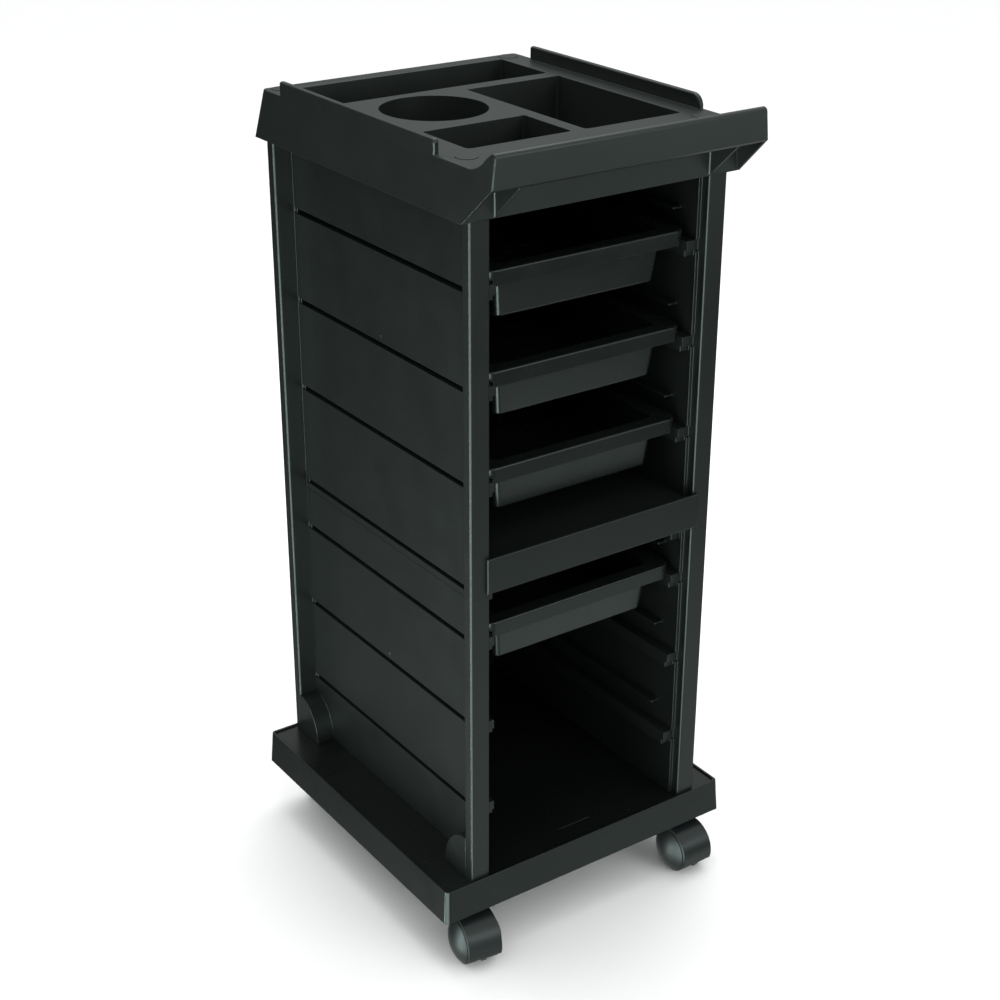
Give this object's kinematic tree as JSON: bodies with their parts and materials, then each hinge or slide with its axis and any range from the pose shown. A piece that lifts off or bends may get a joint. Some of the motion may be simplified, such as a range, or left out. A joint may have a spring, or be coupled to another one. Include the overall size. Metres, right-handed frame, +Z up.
{
  "type": "rolling salon trolley",
  "caption": "Tall black plastic trolley on swivel casters: top tray with pockets, cup and handle lip, pull-out drawers between slotted sides, shelf and open lower compartment.",
  "frame": {"origin": "on the floor, below the middle of the trolley's whole footprint, handle lip included", "axes": "+Z up, -Y towards the front with the handle lip and the drawers' open side, +X to the right seen from the front"},
  "size_m": [0.365, 0.414, 0.8611],
  "materials": {
    "frame_plastic": "satin black injection-moulded plastic with a fine spark texture",
    "panel_plastic": "satin black moulded sheet",
    "deck_plastic": "smooth satin black, the deck glossier than the skirt",
    "shelf_plastic": "satin black",
    "tray_plastic": "satin black with a fine grain",
    "drawer_plastic": "satin black",
    "caster_plastic": "smooth satin black",
    "wheel_nylon": "smooth black nylon with scuffed treads",
    "steel": "zinc-plated steel",
    "screw_steel": "zinc-plated screw"
  },
  "bodies": {
    "body": {"base_deck": "deck_plastic", "side_frame_lower_left": "frame_plastic", "side_frame_lower_right": "frame_plastic", "side_frame_upper_left": "frame_plastic", "side_frame_upper_right": "frame_plastic", "back_panel_lower": "panel_plastic", "back_panel_upper": "panel_plastic", "mid_shelf": "shelf_plastic", "top_tray": "tray_plastic", "caster_front_left_stem": "steel", "caster_front_right_stem": "steel", "caster_rear_left_stem": "steel", "caster_rear_right_stem": "steel", "caster_grip_rings": "steel", "tray_screws": "screw_steel", "tray_screw_caps": "tray_plastic", "base_screws": "screw_steel", "shelf_screws": "screw_steel", "back_panel_screws": "screw_steel"},
    "drawer_1": {"drawer_1": "drawer_plastic"},
    "drawer_2": {"drawer_2": "drawer_plastic"},
    "drawer_3": {"drawer_3": "drawer_plastic"},
    "drawer_4": {"drawer_4": "drawer_plastic"},
    "caster_front_left": {"caster_front_left_hood": "caster_plastic", "caster_front_left_axle": "steel"},
    "wheel_front_left_left": {"caster_front_left_wheel_left": "wheel_nylon"},
    "wheel_front_left_right": {"caster_front_left_wheel_right": "wheel_nylon"},
    "caster_front_right": {"caster_front_right_hood": "caster_plastic", "caster_front_right_axle": "steel"},
    "wheel_front_right_left": {"caster_front_right_wheel_left": "wheel_nylon"},
    "wheel_front_right_right": {"caster_front_right_wheel_right": "wheel_nylon"},
    "caster_rear_left": {"caster_rear_left_hood": "caster_plastic", "caster_rear_left_axle": "steel"},
    "wheel_rear_left_left": {"caster_rear_left_wheel_left": "wheel_nylon"},
    "wheel_rear_left_right": {"caster_rear_left_wheel_right": "wheel_nylon"},
    "caster_rear_right": {"caster_rear_right_hood": "caster_plastic", "caster_rear_right_axle": "steel"},
    "wheel_rear_right_left": {"caster_rear_right_wheel_left": "wheel_nylon"},
    "wheel_rear_right_right": {"caster_rear_right_wheel_right": "wheel_nylon"}
  },
  "joints": [
    {"name": "drawer_1_slide", "type": "slide", "parent": "body", "child": "drawer_1", "axis": [0, -1, 0], "range_m": [0, 0.26]},
    {"name": "drawer_2_slide", "type": "slide", "parent": "body", "child": "drawer_2", "axis": [0, -1, 0], "range_m": [0, 0.26]},
    {"name": "drawer_3_slide", "type": "slide", "parent": "body", "child": "drawer_3", "axis": [0, -1, 0], "range_m": [0, 0.26]},
    {"name": "drawer_4_slide", "type": "slide", "parent": "body", "child": "drawer_4", "axis": [0, -1, 0], "range_m": [0, 0.26]},
    {"name": "caster_front_left_swivel", "type": "hinge", "parent": "body", "child": "caster_front_left", "pos_m": [-0.139, -0.141, 0.045], "axis": [0, 0, 1], "continuous": true},
    {"name": "wheel_front_left_left_spin", "type": "hinge", "parent": "caster_front_left", "child": "wheel_front_left_left", "pos_m": [-0.14182, -0.15878, 0.025], "axis": [0.9877, -0.1564, 0], "continuous": true},
    {"name": "wheel_front_left_right_spin", "type": "hinge", "parent": "caster_front_left", "child": "wheel_front_left_right", "pos_m": [-0.14182, -0.15878, 0.025], "axis": [0.9877, -0.1564, 0], "continuous": true},
    {"name": "caster_front_right_swivel", "type": "hinge", "parent": "body", "child": "caster_front_right", "pos_m": [0.139, -0.141, 0.045], "axis": [0, 0, 1], "continuous": true},
    {"name": "wheel_front_right_left_spin", "type": "hinge", "parent": "caster_front_right", "child": "wheel_front_right_left", "pos_m": [0.139, -0.159, 0.025], "axis": [1, 0, 0], "continuous": true},
    {"name": "wheel_front_right_right_spin", "type": "hinge", "parent": "caster_front_right", "child": "wheel_front_right_right", "pos_m": [0.139, -0.159, 0.025], "axis": [1, 0, 0], "continuous": true},
    {"name": "caster_rear_left_swivel", "type": "hinge", "parent": "body", "child": "caster_rear_left", "pos_m": [-0.139, 0.179, 0.045], "axis": [0, 0, 1], "continuous": true},
    {"name": "wheel_rear_left_left_spin", "type": "hinge", "parent": "caster_rear_left", "child": "wheel_rear_left_left", "pos_m": [-0.1211, 0.17712, 0.025], "axis": [0.1045, 0.9945, 0], "continuous": true},
    {"name": "wheel_rear_left_right_spin", "type": "hinge", "parent": "caster_rear_left", "child": "wheel_rear_left_right", "pos_m": [-0.1211, 0.17712, 0.025], "axis": [0.1045, 0.9945, 0], "continuous": true},
    {"name": "caster_rear_right_swivel", "type": "hinge", "parent": "body", "child": "caster_rear_right", "pos_m": [0.139, 0.179, 0.045], "axis": [0, 0, 1], "continuous": true},
    {"name": "wheel_rear_right_left_spin", "type": "hinge", "parent": "caster_rear_right", "child": "wheel_rear_right_left", "pos_m": [0.14574, 0.16231, 0.025], "axis": [0.9272, 0.3746, 0], "continuous": true},
    {"name": "wheel_rear_right_right_spin", "type": "hinge", "parent": "caster_rear_right", "child": "wheel_rear_right_right", "pos_m": [0.14574, 0.16231, 0.025], "axis": [0.9272, 0.3746, 0], "continuous": true}
  ]
}
